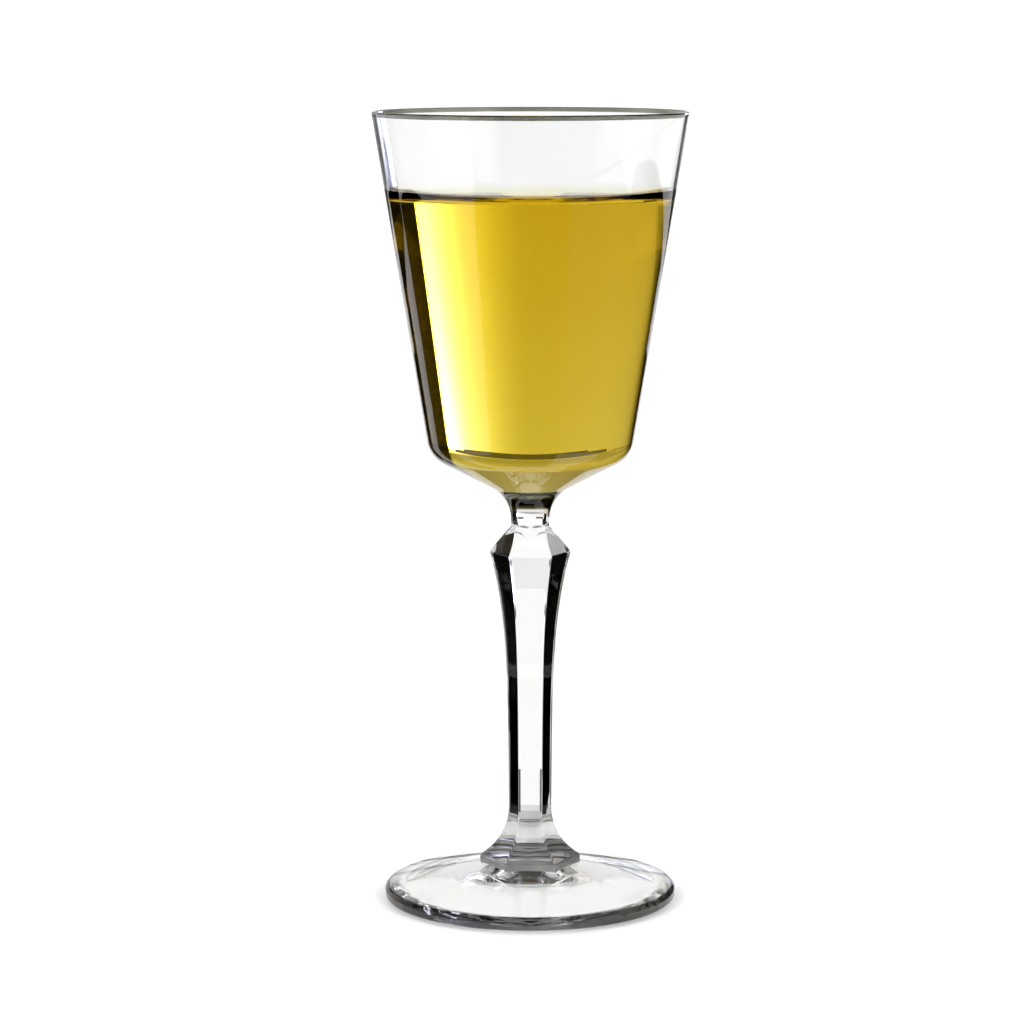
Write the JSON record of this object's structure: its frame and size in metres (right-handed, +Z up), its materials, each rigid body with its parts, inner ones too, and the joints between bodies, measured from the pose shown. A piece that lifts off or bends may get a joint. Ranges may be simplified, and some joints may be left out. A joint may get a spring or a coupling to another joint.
{
  "type": "wine glass",
  "caption": "Stemmed wine glass with a conical bowl of white wine, a six-sided stem with a wide shoulder, and a round foot.",
  "frame": {"origin": "middle of the ring that the foot stands on, at table height", "axes": "+Z up along the glass's axis; +Y away from the viewer, square to a flat side of the stem; +X to the viewer's right"},
  "size_m": [0.0774, 0.0772, 0.195],
  "materials": {
    "bowl_glass": "polished",
    "stem_glass": "polished",
    "foot_glass": "polished",
    "wine": "gloss"
  },
  "bodies": {
    "root": {"bowl": "bowl_glass", "stem": "stem_glass", "foot": "foot_glass", "wine": "wine"}
  },
  "joints": []
}
